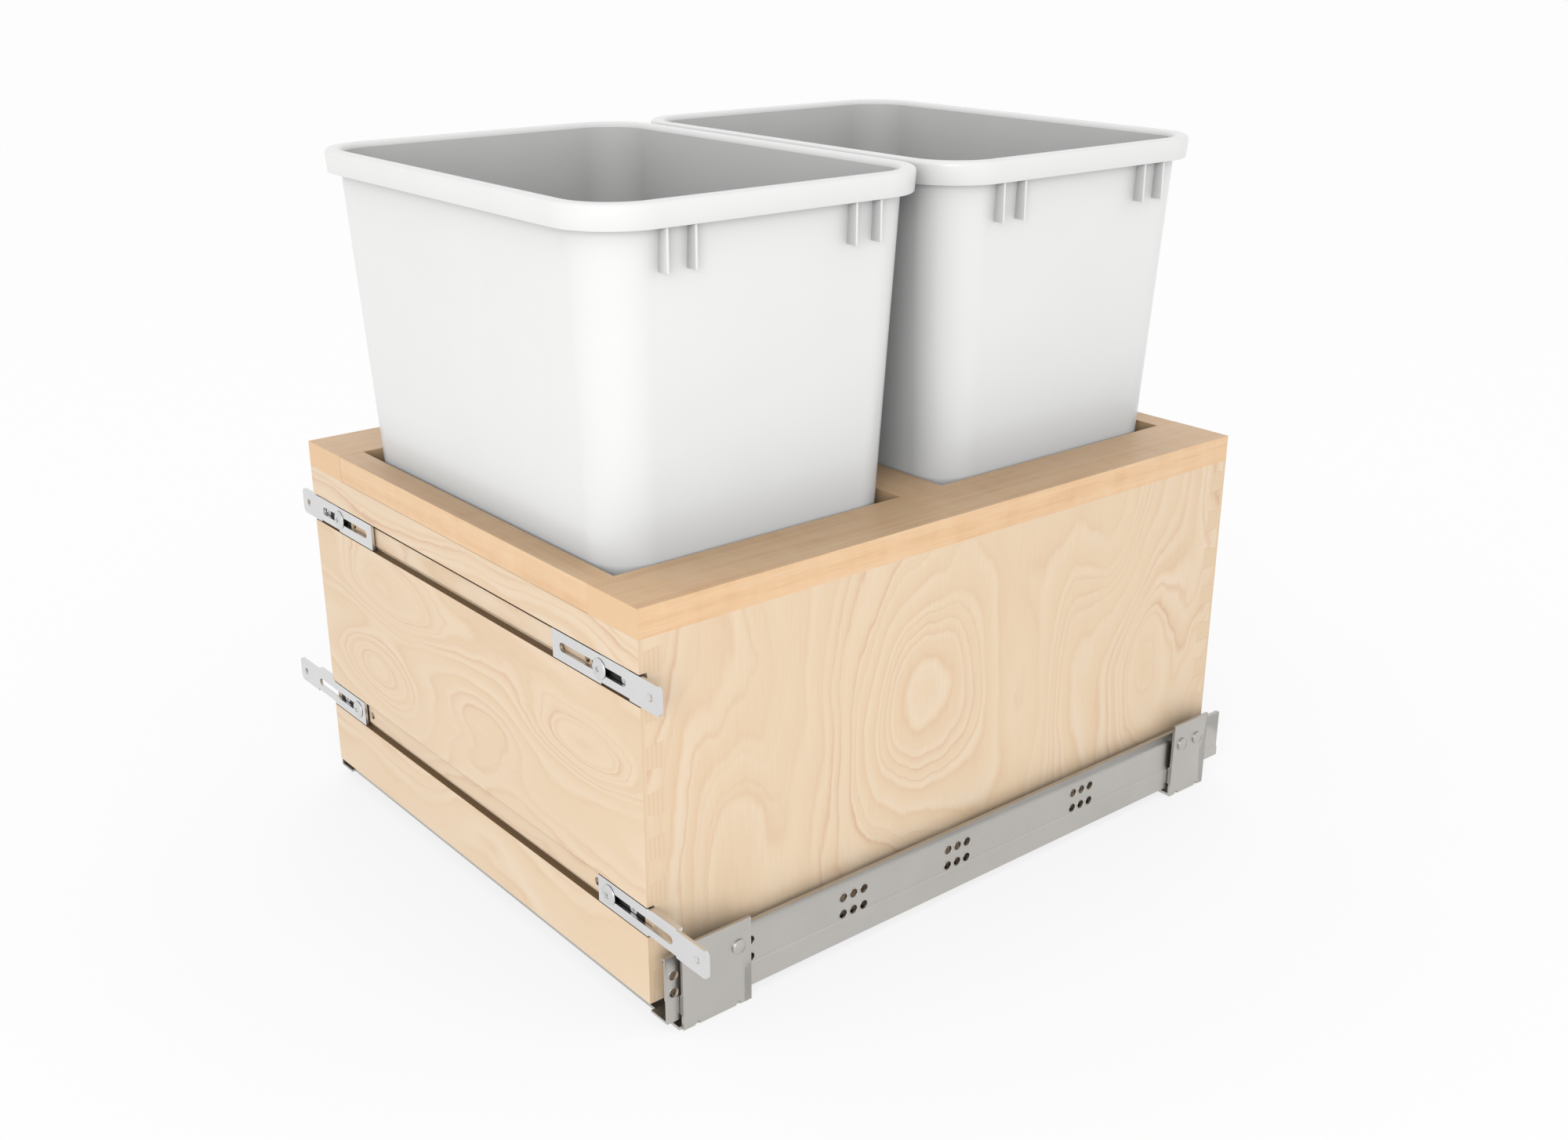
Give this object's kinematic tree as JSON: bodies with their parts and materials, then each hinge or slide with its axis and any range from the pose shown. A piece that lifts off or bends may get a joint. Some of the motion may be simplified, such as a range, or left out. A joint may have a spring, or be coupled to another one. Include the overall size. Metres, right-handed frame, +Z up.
{
  "type": "pull out bin frame",
  "caption": "Dovetailed wooden box on full-extension undermount slides with a face frame that holds lift-out waste bins and sliding plates for a cabinet door",
  "frame": {"origin": "middle of the outline on the cabinet floor under the foot flanges", "axes": "+X is the right side seen from the front, +Y points from the door side to the back of the cabinet, +Z is up"},
  "size_m": [0.541, 0.5461, 0.4942],
  "materials": {
    "satin_steel": "satin zinc-plated sheet steel",
    "bright_zinc": "bright zinc plate",
    "dark_steel": "dark phosphated steel",
    "birch_plywood": "clear-coated birch plywood",
    "solid_maple": "clear-coated solid maple",
    "beech_dowel": "plain turned dowel",
    "white_polypropylene": "satin moulded polypropylene",
    "grey_acetal": "moulded acetal",
    "black_rubber": "moulded rubber"
  },
  "bodies": {
    "fixed_slides": {"left_fixed_rail": "satin_steel", "right_fixed_rail": "satin_steel", "front_bracket": "satin_steel", "rear_left_foot": "satin_steel", "rear_right_foot": "satin_steel", "foot_rivets": "bright_zinc", "rear_stops": "black_rubber"},
    "drawer": {"front_panel": "birch_plywood", "back_panel": "birch_plywood", "left_side": "birch_plywood", "right_side": "birch_plywood", "bottom_panel": "birch_plywood", "left_stile": "solid_maple", "right_stile": "solid_maple", "front_rail": "solid_maple", "centre_rail": "solid_maple", "rear_rail": "solid_maple", "rail_dowels": "beech_dowel", "side_dowel_set": "beech_dowel", "left_drawer_rail": "satin_steel", "right_drawer_rail": "satin_steel", "left_lock_body": "grey_acetal", "right_lock_body": "grey_acetal", "lock_screws": "bright_zinc", "clamp_bars": "dark_steel", "bar_screws": "bright_zinc", "clamp_screws": "bright_zinc"},
    "left_middle": {"left_middle_rail": "satin_steel"},
    "left_lower_roller_set": {"left_lower_cage": "grey_acetal", "left_lower_rollers": "bright_zinc"},
    "left_upper_roller_set": {"left_upper_cage": "grey_acetal", "left_upper_rollers": "bright_zinc"},
    "right_middle": {"right_middle_rail": "satin_steel"},
    "right_lower_roller_set": {"right_lower_cage": "grey_acetal", "right_lower_rollers": "bright_zinc"},
    "right_upper_roller_set": {"right_upper_cage": "grey_acetal", "right_upper_rollers": "bright_zinc"},
    "left_lock_catch": {"left_lock_slider": "grey_acetal"},
    "right_lock_catch": {"right_lock_slider": "grey_acetal"},
    "top_left_door_plate": {"top_left_plate": "bright_zinc"},
    "top_right_door_plate": {"top_right_plate": "bright_zinc"},
    "low_left_door_plate": {"low_left_plate": "bright_zinc"},
    "low_right_door_plate": {"low_right_plate": "bright_zinc"},
    "front_bin_body": {"front_bin": "white_polypropylene"},
    "rear_bin_body": {"rear_bin": "white_polypropylene"}
  },
  "joints": [
    {"name": "drawer_slide", "type": "slide", "parent": "fixed_slides", "child": "drawer", "axis": [0, -1, 0], "range_m": [0, 0.5]},
    {"name": "left_middle_slide", "type": "slide", "parent": "fixed_slides", "child": "left_middle", "axis": [0, -1, 0], "range_m": [0, 0.25]},
    {"name": "left_lower_roller_set_slide", "type": "slide", "parent": "fixed_slides", "child": "left_lower_roller_set", "axis": [0, -1, 0], "range_m": [0, 0.125]},
    {"name": "left_upper_roller_set_slide", "type": "slide", "parent": "fixed_slides", "child": "left_upper_roller_set", "axis": [0, -1, 0], "range_m": [0, 0.375]},
    {"name": "right_middle_slide", "type": "slide", "parent": "fixed_slides", "child": "right_middle", "axis": [0, -1, 0], "range_m": [0, 0.25]},
    {"name": "right_lower_roller_set_slide", "type": "slide", "parent": "fixed_slides", "child": "right_lower_roller_set", "axis": [0, -1, 0], "range_m": [0, 0.125]},
    {"name": "right_upper_roller_set_slide", "type": "slide", "parent": "fixed_slides", "child": "right_upper_roller_set", "axis": [0, -1, 0], "range_m": [0, 0.375]},
    {"name": "left_lock_release", "type": "slide", "parent": "drawer", "child": "left_lock_catch", "axis": [1, 0, 0], "range_m": [0, 0.004], "stiffness_N_per_m": 200},
    {"name": "right_lock_release", "type": "slide", "parent": "drawer", "child": "right_lock_catch", "axis": [-1, 0, 0], "range_m": [0, 0.004], "stiffness_N_per_m": 200},
    {"name": "top_left_plate_slide", "type": "slide", "parent": "drawer", "child": "top_left_door_plate", "axis": [-1, 0, 0], "range_m": [-0.0235, 0.0395]},
    {"name": "top_right_plate_slide", "type": "slide", "parent": "drawer", "child": "top_right_door_plate", "axis": [1, 0, 0], "range_m": [-0.0235, 0.0395]},
    {"name": "low_left_plate_slide", "type": "slide", "parent": "drawer", "child": "low_left_door_plate", "axis": [-1, 0, 0], "range_m": [-0.063, 0]},
    {"name": "low_right_plate_slide", "type": "slide", "parent": "drawer", "child": "low_right_door_plate", "axis": [1, 0, 0], "range_m": [-0.063, 0]},
    {"name": "front_bin_lift", "type": "slide", "parent": "drawer", "child": "front_bin_body", "axis": [0, 0, 1], "range_m": [0, 0.25]},
    {"name": "rear_bin_lift", "type": "slide", "parent": "drawer", "child": "rear_bin_body", "axis": [0, 0, 1], "range_m": [0, 0.25]}
  ],
  "couplings": [
    {"joint": "left_middle_slide", "follows": "drawer_slide", "ratio": 0.5},
    {"joint": "left_lower_roller_set_slide", "follows": "drawer_slide", "ratio": 0.25},
    {"joint": "left_upper_roller_set_slide", "follows": "drawer_slide", "ratio": 0.75},
    {"joint": "right_middle_slide", "follows": "drawer_slide", "ratio": 0.5},
    {"joint": "right_lower_roller_set_slide", "follows": "drawer_slide", "ratio": 0.25},
    {"joint": "right_upper_roller_set_slide", "follows": "drawer_slide", "ratio": 0.75}
  ]
}
